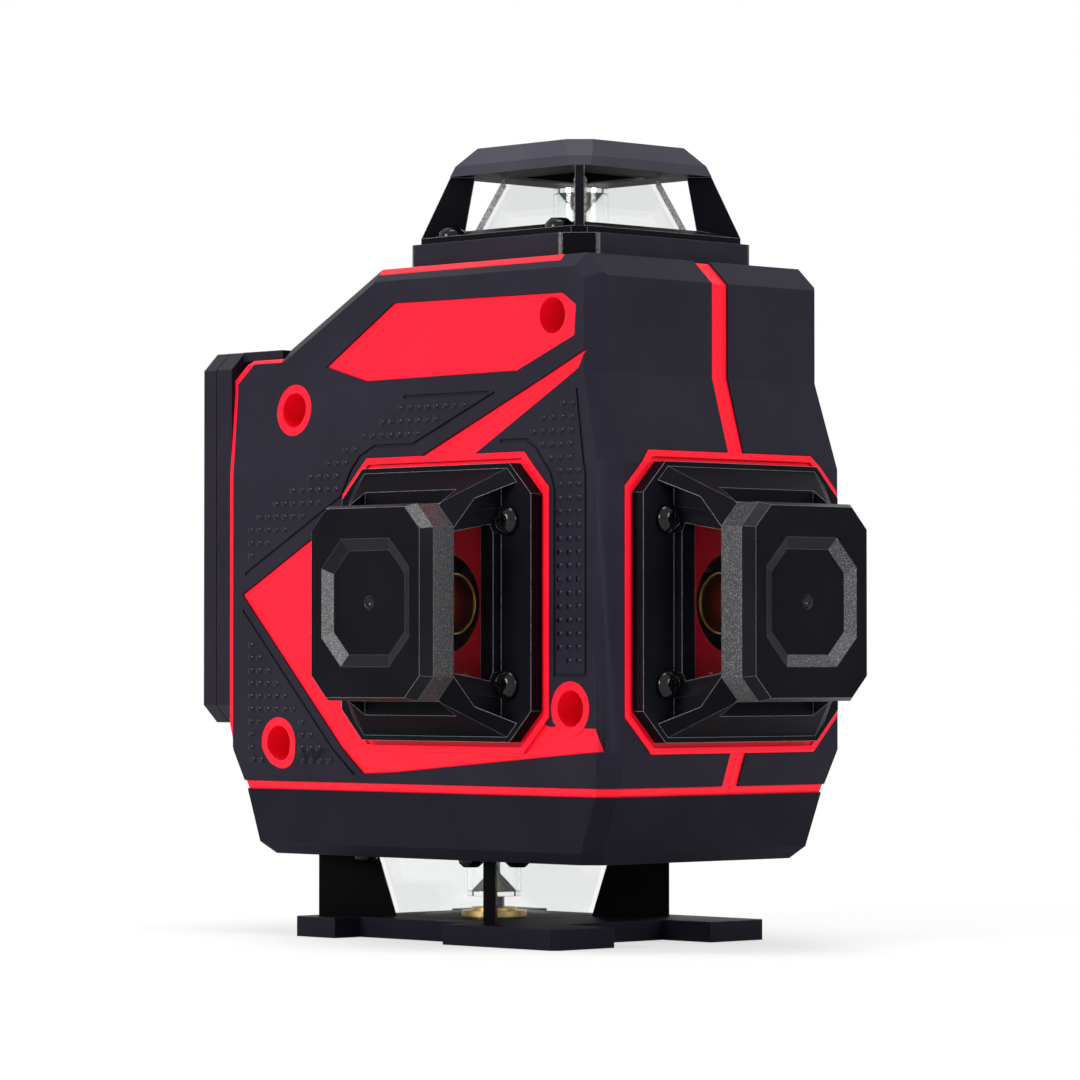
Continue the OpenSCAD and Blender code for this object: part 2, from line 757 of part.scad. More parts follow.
module top_window_frame() {
    color(black) translate([0, -top_window_y, 0]) difference() {
        union() {
            prism_z(oct(47, 47, 2.2), block_top, 139.2);
            intersection() {
                loft(frame_levels);
                union() {
                    box(-30, 30, -30, 30, roof_z, overall_z + 1);
                    for (a = [45:90:315]) rotate(a) prism_y(top_web, -0.9, 0.9);
                }
            }
            loft([[139.2, oct(44, 46.6, 2)], [sill_top, oct(34, 34, 1)]]);
        }
        loft([for (l = top_glass) [l[0], rect(l[1], l[1])]]);
        prism_z(rect(26, 26), 130, sill_top);
        prism_z(rect(17, 17), roof_z - 1, 154);
        for (s = [-1, 1], t = [-1, 1]) {
            rod_z(s * top_screw.x, t * top_screw.y, 1.3, 130, 145);
            rod_z(s * top_screw.x, t * top_screw.y, 3, 139.2, 145);
        }
    }
}

module top_window_glass() {
    color(clear) translate([0, -top_window_y, 0]) difference() {
        loft([for (l = top_glass) [l[0], rect(l[1], l[1])]]);
        loft([for (l = top_glass)
            [l[0] + (l[0] == roof_z ? eps : -eps), rect(l[1] - 2 * glass_t, l[1] - 2 * glass_t)]]);
    }
}

module top_window_screws() {
    color(black) for (s = [-1, 1], t = [-1, 1])
        translate([s * top_screw.x, t * top_screw.y - top_window_y, 139.2]) pan_screw(2.7, 1.3, 6);
}

// ---- side windows: local z points out of the housing, local y is up, the seat is at z = 0
flange_t = 2.6;
cap_z = hood_reach - 7.2;
hood_screw = [20.8, 15.7];
hood_seat = -shell_sink;               // the flange stands on the bare shell
hood_space = [[hood_seat, hood_inside.x, hood_inside.y], [cap_z, 28.4, 32.6]];

module place_front() { translate([0, -front_reach, window_z]) rotate([90, 0, 0]) children(); }

module place_side() { translate([-body_half_w, -side_window_y, window_z]) rotate([90, 0, -90]) children(); }

function side_field(x, y) = [[x, -y], [40, -y], [40, y], [x, y]];

module hood_frame() {
    difference() {
        union() {
            loft([[hood_seat, oct(flange_w, 53.4, 6)], [flange_t, oct(flange_w, 53.4, 6)]]);
            loft([[flange_t - eps, oct(flange_w - 2, 51.4, 5.6)], [cap_z, oct(34.6, 37.6, 4.6)]]);
            loft([[cap_z - eps, oct(34.6, 37.6, 4.6)], [hood_reach - 1.9, oct(34.6, 37.6, 4.6)],
                [hood_reach, oct(30.8, 36.4, 4.2)]]);
        }
        loft([[hood_seat - eps, rect(hood_space[0][1], hood_space[0][2])],
            [cap_z, rect(hood_space[1][1], hood_space[1][2])]]);
        prism_z(rect(24, 26), cap_z - 1, hood_reach - 2.8);
        for (s = [-1, 1]) scale([s, 1, 1]) {
            // open pocket beside the window, between the two webs
            loft([[flange_t, side_field(18.8, 23)], [cap_z, side_field(17.3, 17.4)]]);
            // the window itself
            loft([[4.5, side_field(10, 15)], [cap_z, side_field(10, 13.5)]]);
        }
        prism_z(rect(26, 60), 9, cap_z - 0.2);
        loft([[hood_reach - 1.1, oct(20.2, 20, 4.4)], [hood_reach + eps, oct(25, 24.6, 5.6)]]);
        translate([0, 0, hood_reach - 0.5]) sphere(r = 1.4);
        at_hood_screws() {
            translate([0, 0, -5]) cylinder(r = 1.3, h = 8);
            cylinder(r = 3.2, h = 20);
        }
    }
}

module front_window_frame() { color(black) place_front() hood_frame(); }

module side_window_frame() { color(black) place_side() hood_frame(); }

module hood_glass() {
    difference() {
        loft([for (l = hood_space) [l[0], rect(l[1], l[2])]]);
        loft([for (l = hood_space) [l[0] + (l[0] < 0 ? -eps : eps),
            rect(l[1] - 2 * glass_t, l[2] - 2 * glass_t)]]);
    }
}

module front_window_glass() { color(clear) place_front() hood_glass(); }

module side_window_glass() { color(clear) place_side() hood_glass(); }

module at_hood_screws() {
    for (s = [-1, 1], t = [-1, 1])
        translate([s * hood_screw.x, t * hood_screw.y, flange_t]) children();
}

module hood_screws() { at_hood_screws() pan_screw(2.8, 1.3, 5); }

module front_window_screws() { color(black) place_front() hood_screws(); }

module side_window_screws() { color(black) place_side() hood_screws(); }

// ---- keypad on the slope
key_hole = [7.7, 11.3];
key_size = [7, 10.6];
key_pitch = 9;
key_travel = 0.8;
bezel_z = [-3.6, 2];
leg_end = -6.9;
leg_places = [[-18.7, -6.6], [18.7, -6.6], [-18.7, 6.6], [18.7, 6.6]];

module keypad_bezel() {
    color(red) on_slope() {
        difference() {
            prism_z(oct(keypad_size.x, keypad_size.y, 2), bezel_z[0], bezel_z[1]);
            for (k = [0:3]) translate([(k - 1.5) * key_pitch, 0, 0])
                prism_z(oct(key_hole.x, key_hole.y, 1), bezel_z[0] - 1, bezel_z[1] + 1);
            for (k = [0:3]) rod_z((k - 1.5) * key_pitch, 7.1, 0.8, bezel_z[0] - 1, bezel_z[1] + 1);
        }
        for (p = leg_places) rod_z(p.x, p.y, 1.1, leg_end, bezel_z[0]);
    }
}

// Key number k from the left: a rubber cap with a flange that the bezel holds in
module key(k) {
    on_slope() translate([(k - 1.5) * key_pitch, 0, 0]) {
        loft([[-4, oct(key_size.x, key_size.y, 1)], [2.4, oct(key_size.x, key_size.y, 1)],
            [2.9, oct(key_size.x - 1, key_size.y - 1, 0.8)]]);
        prism_z(oct(8.4, 12, 1), -4.8, -3.95);
    }
}

module power_key() { color([0.75, 0.12, 0.15]) key(0); }

module level_key() { color([0.3, 0.3, 0.33]) key(1); }

module plumb_key() { color([0.3, 0.3, 0.33]) key(2); }

module pulse_key() { color([0.3, 0.3, 0.33]) key(3); }

module indicator_lenses() {
    color([0.3, 0.85, 0.4]) on_slope() for (k = [0:3])
        rod_z((k - 1.5) * key_pitch, 7.1, 0.8, leg_end, bezel_z[1]);
}

module key_board() {
    color([0.1, 0.4, 0.2]) on_slope() {
        box(-20, 20, -8.2, 8.2, leg_end - 1.4, leg_end);
        for (k = [0:3]) translate([(k - 1.5) * key_pitch, 0, 0]) {
            box(-2.5, 2.5, -2.5, 2.5, leg_end, leg_end + 0.7);
            rod_z(0, 0, 1.2, leg_end + 0.7, -4.8 - key_travel - 0.1);
        }
    }
}

// ---- pendulum lock: knob and shaft turn together, the cam under the plate lifts it
shaft_r = 2;
cam_r = 5;
cam_x = [0, 6];
plate_low = lock_z + cam_r - lock_lift + play;
pad_top = plate_low + 4.2;
guide_y = -top_window_y;
guides = [[-9, guide_y - 4], [9, guide_y + 4]];

module lock_knob() {
    color(black) difference() {
        union() {
            rod_x(guide_y, lock_z, knob_r, body_half_w + 0.4, body_half_w + 3);
            rod_x(guide_y, lock_z, knob_r - 1.2, body_half_w + 3 - eps, body_half_w + 4);
            translate([body_half_w + 4 - eps, guide_y, lock_z]) rotate([0, 90, 0])
                prism_z(oct(5, 2 * knob_r - 2.6, 1.5), 0, 6);
            rod_x(guide_y, lock_z, 2.8, 30, body_half_w + 0.4 + eps);
        }
        rod_x(guide_y, lock_z, shaft_r, 29, body_half_w + 6);
    }
}

module lock_shaft() {
    color(steel) {
        rod_x(guide_y, lock_z, shaft_r, cam_x[0] - 1, body_half_w + 6);
        rod_x(guide_y, lock_z - lock_lift, cam_r, cam_x[0], cam_x[1]);
    }
}

module lock_plate() {
    color(steel) {
        box(guides[0].x - 3, guides[1].x + 3, guide_y - 6, guide_y + 6, plate_low, plate_low + 2.4);
        for (p = guides) rod_z(p.x, p.y, pin_r, seam_z + 0.4, plate_low + eps);
    }
}

module lock_pad() { color(rubber) rod_z(0, guide_y, 4.5, plate_low + 2.4, pad_top); }

// ---- chassis
plate_top = 32.3;
arch_x = [21, 25];
arch_y = [-44, -4];
magnet_x = [-4.6, 4.6];
magnet_y = -45.5;
magnet_z = [50, 53];

module chassis() {
    color(alloy) difference() {
        union() {
            box(-arch_x[1], arch_x[1], -56, 33, seam_z, plate_top);
            for (s = [-1, 1]) scale([s, 1, 1]) difference() {
                box(arch_x[0], arch_x[1], arch_y[0], arch_y[1], plate_top - eps, 119);
                box(arch_x[0] - 1, arch_x[1] + 1, arch_y[0] + 5, arch_y[1] - 3, 53, 98);
            }
            box(-9, 9, magnet_y - 5, magnet_y + 5, plate_top - eps, magnet_z[0]);
        }
        rod_z(0, 0, 15, 0, 60);
        for (p = guides) rod_z(p.x, p.y, pin_r + play, 0, 60);
        rod_x(guide_y, lock_z, shaft_r + play, 10, 40);
        for (s = [-1, 1]) rod_x(-top_window_y, pivot_z, pin_r, s > 0 ? 10 : -40, s > 0 ? 40 : -10);
        for (p = cover_posts) rod_z(p.x, p.y, 1.6, 0, 60);
    }
}

module chassis_screws() {
    color(steel) for (p = cover_posts) translate([p.x, p.y, plate_top]) pan_screw(2.8, 1.2, 9);
}

// ---- gimbal: the ring rolls about X in the chassis, the pendulum pitches about Y in the ring
ring_r = [14.5, 19];
ring_h = 4;
bearing_r = 3;
bearing_at = [15.5, 18];

// The same thing at each of the given angles about the pivot, its +Z pointing away from it
module at_pivot(angles) {
    translate(pivot) for (a = angles) rotate([0, 0, a]) rotate([0, 90, 0]) children();
}

roll = [0, 180];
pitch = [90, 270];

module roll_pins() { color(steel) at_pivot(roll) rod_z(0, 0, pin_r, bearing_at[0], arch_x[1]); }

module pitch_pins() { color(steel) at_pivot(pitch) rod_z(0, 0, pin_r, 6.4, bearing_at[1]); }

module bearing() {
    difference() {
        rod_z(0, 0, bearing_r, bearing_at[0], bearing_at[1]);
        rod_z(0, 0, pin_r + play, 0, 30);
    }
}

module roll_bearings() { color(steel) at_pivot(roll) bearing(); }

module pitch_bearings() { color(steel) at_pivot(pitch) bearing(); }

module gimbal_ring() {
    color(alloy) difference() {
        rod_z(0, -top_window_y, ring_r[1], pivot_z - ring_h, pivot_z + ring_h);
        rod_z(0, -top_window_y, ring_r[0], 0, 200);
        at_pivot(concat(roll, pitch)) {
            rod_z(0, 0, bearing_r, bearing_at[0], bearing_at[1]);
            rod_z(0, 0, pin_r + 0.4, 10, 30);
        }
    }
}

// ---- pendulum
block_low = pad_top + lock_lift + 0.8;
sleeve_r = 8.5;
front_laser_y = [26.7 - front_reach, -2.8 - front_reach];
side_laser_x = [21.3 - body_half_w, -3.2 - body_half_w];
top_laser_z = [98, 138.5];
bottom_laser_z = [48, body_bottom + 2.1];
nose_y = 9.7 - front_reach;            // front end of the pendulum block
side_weight = [9.5, body_half_w - 6.8]; // radius and outer end of the weight opposite the side laser
front_weight_y = -44.5;
weight_pad_z = 77;
glass_l = 9.5;
base_l = 1;

module pendulum_block() {
    color(alloy) difference() {
        union() {
            box(-9, 9, -34, -14, block_low, 103);
            rod_z(0, -top_window_y, 9.5, 100, 119);
            rod_y(0, window_z, sleeve_r, nose_y, -33);
            box(-5, 5, -52, -33, plate_top + 25, window_z);
            box(-6, 6, nose_y, -33, window_z, weight_pad_z);
            rod_x(-side_window_y, window_z, sleeve_r, 9.3 - body_half_w, -8);
            box(-7, 7, -15, -4, 44, 62);
            rod_z(0, 0, sleeve_r, 26, 62);
        }
        rod_z(0, -top_window_y, laser_r, top_laser_z[0], 130);
        rod_y(0, window_z, laser_r, -70, front_laser_y[0]);
        rod_x(-side_window_y, window_z, laser_r, -40, side_laser_x[0]);
        rod_z(0, 0, laser_r, 20, bottom_laser_z[0]);
        at_pivot(pitch) rod_z(0, 0, pin_r, 6.4, 12);
        rod_x(-side_window_y, window_z, 3, 5, 20);
        rod_x(0, 40, 1.5, 6.5, 20);
        rod_y(0, 40, 1.5, 6.5, 20);
    }
}

module laser(length) {
    cylinder(r = laser_r, h = length - 6);
    translate([0, 0, length - 6 - eps]) cylinder(r = laser_r - 0.3, h = 6 + eps);
}

module top_laser() {
    color(brass) translate([0, -top_window_y, top_laser_z[0]]) laser(top_laser_z[1] - top_laser_z[0]);
}

module bottom_laser() {
    color(brass) translate([0, 0, bottom_laser_z[0]]) mirror([0, 0, 1])
        laser(bottom_laser_z[0] - bottom_laser_z[1]);
}

module front_laser() {
    color(brass) translate([0, front_laser_y[0], window_z]) rotate([90, 0, 0])
        laser(front_laser_y[0] - front_laser_y[1]);
}

module side_laser() {
    color(brass) translate([side_laser_x[0], -side_window_y, window_z]) rotate([0, -90, 0])
        laser(side_laser_x[0] - side_laser_x[1]);
}

// Each puts a child that points along +Z onto the end of one laser
module on_top_laser() { translate([0, -top_window_y, top_laser_z[1]]) children(); }

module on_bottom_laser() { translate([0, 0, bottom_laser_z[1]]) mirror([0, 0, 1]) children(); }

module on_front_laser() { translate([0, front_laser_y[1], window_z]) rotate([90, 0, 0]) children(); }

module on_side_laser() { translate([side_laser_x[1], -side_window_y, window_z]) rotate([0, -90, 0]) children(); }

module cone_glass() {
    difference() {
        cylinder(r = 5.5, h = glass_l);
        translate([0, 0, -1]) cylinder(r = 4.7, h = glass_l + 2);
    }
}

module cone_glasses() {
    color(clear) {
        on_top_laser() cone_glass();
        on_bottom_laser() cone_glass();
        on_front_laser() cone_glass();
        on_side_laser() cone_glass();
    }
}

// Cone mirror: its tip faces the laser and its base closes the glass
module cone() {
    translate([0, 0, glass_l]) cylinder(r = 5.5, h = base_l);
    translate([0, 0, glass_l - 4.6]) cylinder(r1 = 0.1, r2 = 4.7, h = 4.6 + eps);
}

module top_cone() { color(steel) on_top_laser() cone(); }

module bottom_cone() { color(steel) on_bottom_laser() cone(); }

module front_cone() { color(steel) on_front_laser() cone(); }

module side_cone() { color(steel) on_side_laser() cone(); }

module damping_plate() {
    color([0.8, 0.45, 0.3]) box(-10, 10, magnet_y - 6.5, magnet_y + 6.5, plate_top + 23.4, plate_top + 25);
}

module damping_magnets() {
    color(steel) for (x = magnet_x) rod_z(x, magnet_y, 4, magnet_z[0], magnet_z[1]);
}

module balance_weights() {
    color(brass) {
        rod_x(-side_window_y, window_z, 3, 5, 9 + eps);
        rod_x(-side_window_y, window_z, side_weight[0], 9, side_weight[1]);
        box(-7, 7, nose_y, front_weight_y, weight_pad_z, weight_pad_z + 10);
        rod_x(0, 40, 1.5, 6.5, 14);
        rod_y(0, 40, 1.5, 6.5, 14);
    }
}

module main_board() {
    color([0.1, 0.4, 0.2]) difference() {
        union() {
            box(-22, 22, 20, 21.6, 50, 98);
            box(-6, 6, 18.6, 20.01, 70, 82);
            box(10, 18, 17.6, 20.01, 58, 66);
        }
        for (p = board_posts) rod_y(p.x, p.y, 1, 10, 30);
    }
}

// ---- draw
base_plate();
tripod_insert();
base_screws();
lower_window_frame();
lower_window_glass();
lower_window_screws();
bottom_cover();
left_shell();
right_shell();
left_grip();
right_grip();
housing_screws();
back_shell();
dock_contacts();
battery_case();
battery_cells();
battery_terminals();
charge_port();
top_block();
top_window_frame();
top_window_glass();
top_window_screws();
front_window_frame();
front_window_glass();
front_window_screws();
side_window_frame();
side_window_glass();
side_window_screws();
keypad_bezel();
power_key();
level_key();
plumb_key();
pulse_key();
indicator_lenses();
key_board();
lock_knob();
lock_shaft();
lock_plate();
lock_pad();
chassis();
chassis_screws();
roll_pins();
roll_bearings();
gimbal_ring();
pitch_bearings();
pitch_pins();
pendulum_block();
top_laser();
bottom_laser();
front_laser();
side_laser();
cone_glasses();
top_cone();
bottom_cone();
front_cone();
side_cone();
damping_plate();
damping_magnets();
balance_weights();
main_board();
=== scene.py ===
# %% [markdown]
# # A self-levelling line laser in two colours
# The level is a red hard shell with a black rubber skin moulded over it. Two window hoods stand out from its
# front and its left side, a window with a roof stands on top, a fourth window is underneath, and a battery
# pack closes the back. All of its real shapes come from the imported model, so this script is about surfaces:
# how each finish is built from nodes, and how the crisp machine edges of a model are turned into the small
# soft edges that a moulded piece has.

import json
import math

import bpy
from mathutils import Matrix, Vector

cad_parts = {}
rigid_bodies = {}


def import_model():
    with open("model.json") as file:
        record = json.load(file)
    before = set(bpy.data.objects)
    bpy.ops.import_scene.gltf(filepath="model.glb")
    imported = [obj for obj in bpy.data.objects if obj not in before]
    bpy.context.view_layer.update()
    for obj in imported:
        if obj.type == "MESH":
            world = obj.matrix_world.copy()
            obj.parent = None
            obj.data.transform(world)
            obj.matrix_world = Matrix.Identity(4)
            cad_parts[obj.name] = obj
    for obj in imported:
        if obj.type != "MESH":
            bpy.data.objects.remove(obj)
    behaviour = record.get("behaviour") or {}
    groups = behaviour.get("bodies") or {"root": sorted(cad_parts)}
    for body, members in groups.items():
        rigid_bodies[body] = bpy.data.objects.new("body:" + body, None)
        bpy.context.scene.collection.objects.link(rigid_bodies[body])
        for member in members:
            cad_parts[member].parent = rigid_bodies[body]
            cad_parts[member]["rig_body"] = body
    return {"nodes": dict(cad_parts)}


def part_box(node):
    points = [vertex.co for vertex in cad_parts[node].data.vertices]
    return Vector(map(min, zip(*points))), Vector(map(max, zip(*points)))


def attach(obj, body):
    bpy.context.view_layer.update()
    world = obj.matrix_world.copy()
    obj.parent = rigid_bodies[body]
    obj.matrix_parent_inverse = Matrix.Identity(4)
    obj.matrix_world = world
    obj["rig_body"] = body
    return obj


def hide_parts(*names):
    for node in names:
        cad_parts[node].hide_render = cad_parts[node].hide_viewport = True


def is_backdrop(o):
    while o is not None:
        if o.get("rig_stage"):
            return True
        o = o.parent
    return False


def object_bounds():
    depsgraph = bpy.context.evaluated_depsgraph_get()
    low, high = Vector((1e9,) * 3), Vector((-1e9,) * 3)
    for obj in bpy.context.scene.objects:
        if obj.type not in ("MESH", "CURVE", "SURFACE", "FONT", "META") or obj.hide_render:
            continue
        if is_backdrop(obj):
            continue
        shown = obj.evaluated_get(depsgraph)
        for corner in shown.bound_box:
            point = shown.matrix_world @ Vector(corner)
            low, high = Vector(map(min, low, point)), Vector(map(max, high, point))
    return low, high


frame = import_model()
cad_low, cad_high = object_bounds()
nodes = frame["nodes"]
MM = 0.001
MM2 = MM * MM
print("nodes:", len(nodes), " box:", [round(v, 4) for v in (*cad_low, *cad_high)])

# %% [markdown]
# ## Camera
# The level is seen from its front left corner, at the height of the lower half of its housing, so the front
# and the left side show alike. A long lens about a metre away keeps the upright edges nearly parallel: the
# level is more than four times as far away as the view is wide there. The camera is tilted up a little,
# because the level reaches higher than the camera.

# %% Camera
eye = Vector((-695, -733, 54.6)) * MM
turn_to_right = math.radians(-44)
tilt_up = math.radians(1.43)
sensor_width = 36
distance_over_width = 5000 / 1080

bpy.ops.object.camera_add(location=eye, rotation=(math.pi / 2 + tilt_up, 0, turn_to_right))
camera = bpy.context.object
camera.data.sensor_width = sensor_width
camera.data.lens = sensor_width * distance_over_width
camera.data.clip_start = 0.01
bpy.context.scene.camera = camera
print("camera lens:", round(camera.data.lens, 1), "mm")

# %% [markdown]
# ## World
# Product light starts with a pale world all around, which alone shows each colour about as it is written.
# The backdrop has to be pure white too, but a white world would wash out the blacks. So the world is white
# only for what looks at it straight, in a mirror or through glass, and half as bright for what it lights.
# The Light Path node tells these rays apart.

# %% World
white_backdrop = 1.0
light_on_level = 0.5

world = bpy.data.worlds.new("pale_studio")
bpy.context.scene.world = world
world.use_nodes = True
tree = world.node_tree
tree.nodes.clear()
rays = tree.nodes.new("ShaderNodeLightPath")
straight = tree.nodes.new("ShaderNodeMath")
straight.operation = "MAXIMUM"
straight_or_mirrored = tree.nodes.new("ShaderNodeMath")
straight_or_mirrored.operation = "MAXIMUM"
strength = tree.nodes.new("ShaderNodeMapRange")
strength.inputs["To Min"].default_value = light_on_level
strength.inputs["To Max"].default_value = white_backdrop
backdrop = tree.nodes.new("ShaderNodeBackground")
backdrop.inputs["Color"].default_value = (1, 1, 1, 1)
world_out = tree.nodes.new("ShaderNodeOutputWorld")
tree.links.new(rays.outputs["Is Camera Ray"], straight.inputs[0])
tree.links.new(rays.outputs["Is Transmission Ray"], straight.inputs[1])
tree.links.new(straight.outputs[0], straight_or_mirrored.inputs[0])
tree.links.new(rays.outputs["Is Glossy Ray"], straight_or_mirrored.inputs[1])
tree.links.new(straight_or_mirrored.outputs[0], strength.inputs["Value"])
tree.links.new(strength.outputs["Result"], backdrop.inputs["Strength"])
tree.links.new(backdrop.outputs[0], world_out.inputs["Surface"])
print("world:", world.name)

# %% [markdown]
# ## Lamps
# Four square lamps give the level its form: a large one high above it for the slopes and the roof, one each
# for the left side and the front, and a weak one behind for the top edges. One sun would do for the shadow,
# but only large lamps draw the soft, broad shine that shows satin plastic. They are weak, because the world
# does most of the work, and the left side gets more than the front, so that the corner between them shows.


# %% Lamps
def softbox(name, place, size, power):
    """A square lamp at place, in metres, that faces the middle of the level."""
    target = (cad_low + cad_high) / 2
    aim = (target - Vector(place)).to_track_quat("-Z", "Y").to_euler()
    bpy.ops.object.light_add(type="AREA", location=place, rotation=aim)
    lamp = bpy.context.object
    lamp.name = name
    lamp.data.size = size
    lamp.data.energy = power


softbox("top_lamp", (-0.15, -0.15, 1.7), 0.7, 14)
softbox("left_lamp", (-1.45, 0.2, 0.5), 0.5, 15)
softbox("right_lamp", (0.3, -1.55, 0.5), 0.5, 9)
softbox("back_lamp", (0.6, 0.9, 1.1), 0.6, 5)

# %% [markdown]
# ## Floor
# The level stands on white paper that runs on without an edge. A plain white plane would do for the shadow,
# but lit paper is never quite as white as the backdrop. So the camera sees a paper that partly glows by
# itself, least near the level, where the shadow falls, and wholly farther away. The paper lies a hair under
# the base plate, and from below it is clear, so that the underside of the level can be looked at.


# %% Materials built from shaders
def bare_material(name):
    """A node material with nothing in it but its output."""
    made = bpy.data.materials.new(name)
    made.use_nodes = True
    made.node_tree.nodes.remove(made.node_tree.nodes["Principled BSDF"])
    return made


def mix_surfaces(tree, share, first, second):
    """Mixes two shaders, the second one by share."""
    mixed = tree.nodes.new("ShaderNodeMixShader")
    tree.links.new(share, mixed.inputs["Fac"])
    tree.links.new(first.outputs[0], mixed.inputs[1])
    tree.links.new(second.outputs[0], mixed.inputs[2])
    return mixed


# %% Floor
floor_gap = 0.05 * MM
floor_size = 8
fade_from, fade_to = 0.08, 0.7          # distances from the middle of the level, in metres
glow_near, glow_far = 0.62, 1.0

bpy.ops.mesh.primitive_plane_add(size=floor_size, location=(0, 0, -floor_gap))
floor = bpy.context.object
floor.name = "floor"
paper = bare_material("white_paper")
tree = paper.node_tree
place = tree.nodes.new("ShaderNodeTexCoord")
away = tree.nodes.new("ShaderNodeVectorMath")
away.operation = "LENGTH"
fade = tree.nodes.new("ShaderNodeMapRange")
fade.interpolation_type = "SMOOTHSTEP"
fade.inputs["From Min"].default_value = fade_from
fade.inputs["From Max"].default_value = fade_to
fade.inputs["To Min"].default_value = glow_near
fade.inputs["To Max"].default_value = glow_far
rays = tree.nodes.new("ShaderNodeLightPath")
share = tree.nodes.new("ShaderNodeMath")
share.operation = "MULTIPLY"
matt = tree.nodes.new("ShaderNodeBsdfDiffuse")
matt.inputs["Color"].default_value = (0.84, 0.84, 0.84, 1)
glow = tree.nodes.new("ShaderNodeEmission")
side = tree.nodes.new("ShaderNodeNewGeometry")
see_through = tree.nodes.new("ShaderNodeBsdfTransparent")
tree.links.new(place.outputs["Object"], away.inputs[0])
tree.links.new(away.outputs["Value"], fade.inputs["Value"])
tree.links.new(rays.outputs["Is Camera Ray"], share.inputs[0])
tree.links.new(fade.outputs["Result"], share.inputs[1])
from_above = mix_surfaces(tree, share.outputs[0], matt, glow)
both_sides = mix_surfaces(tree, side.outputs["Backfacing"], from_above, see_through)
tree.links.new(both_sides.outputs[0], tree.nodes["Material Output"].inputs["Surface"])
floor.data.materials.append(paper)
floor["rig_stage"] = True
bpy.context.scene.view_settings.view_transform = "Standard"
print("floor:", floor_size, "m wide")


# %% [markdown]
# ## How a finish is built
# Every finish starts from the same three parts: a colour that drifts a little over the surface, a roughness
# that drifts with it, and a bump that gives the moulded grain. They read Object coordinates in metres, so
# a grain of 0.3 mm needs a noise scale of about 3000. What is the same all over, such as how strongly the
# surface mirrors, is written on the shader's own socket. A moulded edge is never quite sharp: a radius of a
# few tenths of a millimetre catches a thin line of light and tells the eye how big the thing is. The edges
# could be bevelled in the mesh, but the Bevel node rounds every edge at once, also those of the small grip
# dots, and leaves the mesh as it is.


# %% Edges with a painted highlight
def paint_edge_highlights(tree, grey, rounded, grain, colour):
    """Mixes a grey into colour where the Bevel node turns the normal away from that of the face: a painted
    highlight along the edges.
    """
    turned_least, turned_most = 0.995, 0.9
    face = tree.nodes.new("ShaderNodeNewGeometry")
    likeness = tree.nodes.new("ShaderNodeVectorMath")
    likeness.operation = "DOT_PRODUCT"
    painted_edge_share = tree.nodes.new("ShaderNodeMapRange")
    painted_edge_share.inputs["From Min"].default_value = turned_least
    painted_edge_share.inputs["From Max"].default_value = turned_most
    patchy = tree.nodes.new("ShaderNodeMath")
    patchy.operation = "MULTIPLY"
    mixed = tree.nodes.new("ShaderNodeMix")
    mixed.data_type = "RGBA"
    mixed.inputs["B"].default_value = (grey, grey, grey * 1.1, 1)
    tree.links.new(rounded.outputs["Normal"], likeness.inputs[0])
    tree.links.new(face.outputs["Normal"], likeness.inputs[1])
    tree.links.new(likeness.outputs["Value"], painted_edge_share.inputs["Value"])
    tree.links.new(painted_edge_share.outputs["Result"], patchy.inputs[0])
    tree.links.new(grain.outputs["Fac"], patchy.inputs[1])
    tree.links.new(patchy.outputs[0], mixed.inputs["Factor"])
    tree.links.new(colour, mixed.inputs["A"])
    return mixed.outputs["Result"]


# %% A finish from colour, roughness and grain
made_finishes = []


def finish(name, dark, light, rough, grain_scale, grain_height,
           mirrored=0.5, metal=0.0, edge=0.15, painted_edge_grey=0.0):
    """Colour runs from dark to light and roughness over the pair rough, the grain is grain_height metres
    deep, edges look rounded by edge mm, and along them lies a painted highlight in the grey given by the last
    argument, where that isn't 0."""
    made = bpy.data.materials.new(name)
    made.use_nodes = True
    tree = made.node_tree
    shader = tree.nodes["Principled BSDF"]
    shader.inputs["Metallic"].default_value = metal
    shader.inputs["Specular IOR Level"].default_value = mirrored
    place = tree.nodes.new("ShaderNodeTexCoord")
    drift = tree.nodes.new("ShaderNodeTexNoise")
    drift.inputs["Scale"].default_value = 60
    drift.inputs["Detail"].default_value = 4
    tint = tree.nodes.new("ShaderNodeValToRGB")
    tint.color_ramp.elements[0].position = 0.35
    tint.color_ramp.elements[1].position = 0.65
    tint.color_ramp.elements[0].color = (*dark, 1)
    tint.color_ramp.elements[1].color = (*light, 1)
    gloss = tree.nodes.new("ShaderNodeMapRange")
    gloss.inputs["To Min"].default_value = rough[0]
    gloss.inputs["To Max"].default_value = rough[1]
    grain = tree.nodes.new("ShaderNodeTexNoise")
    grain.inputs["Scale"].default_value = grain_scale
    grain.inputs["Detail"].default_value = 2
    relief = tree.nodes.new("ShaderNodeBump")
    relief.inputs["Strength"].default_value = 1
    relief.inputs["Distance"].default_value = grain_height
    rounded = tree.nodes.new("ShaderNodeBevel")
    rounded.samples = 6
    rounded.inputs["Radius"].default_value = edge * MM
    tree.links.new(place.outputs["Object"], drift.inputs["Vector"])
    tree.links.new(place.outputs["Object"], grain.inputs["Vector"])
    tree.links.new(rounded.outputs["Normal"], relief.inputs["Normal"])
    tree.links.new(grain.outputs["Fac"], relief.inputs["Height"])
    tree.links.new(relief.outputs["Normal"], shader.inputs["Normal"])
    tree.links.new(drift.outputs["Fac"], gloss.inputs["Value"])
    tree.links.new(gloss.outputs["Result"], shader.inputs["Roughness"])
    tree.links.new(drift.outputs["Fac"], tint.inputs["Fac"])
    colour = tint.outputs["Color"]
    # A painted highlight along the edges: a grey mixed into the colour where the edge is rounded.
    if painted_edge_grey:
        colour = paint_edge_highlights(tree, painted_edge_grey, rounded, grain, colour)
    tree.links.new(colour, shader.inputs["Base Color"])
    made_finishes.append(name)
    return made
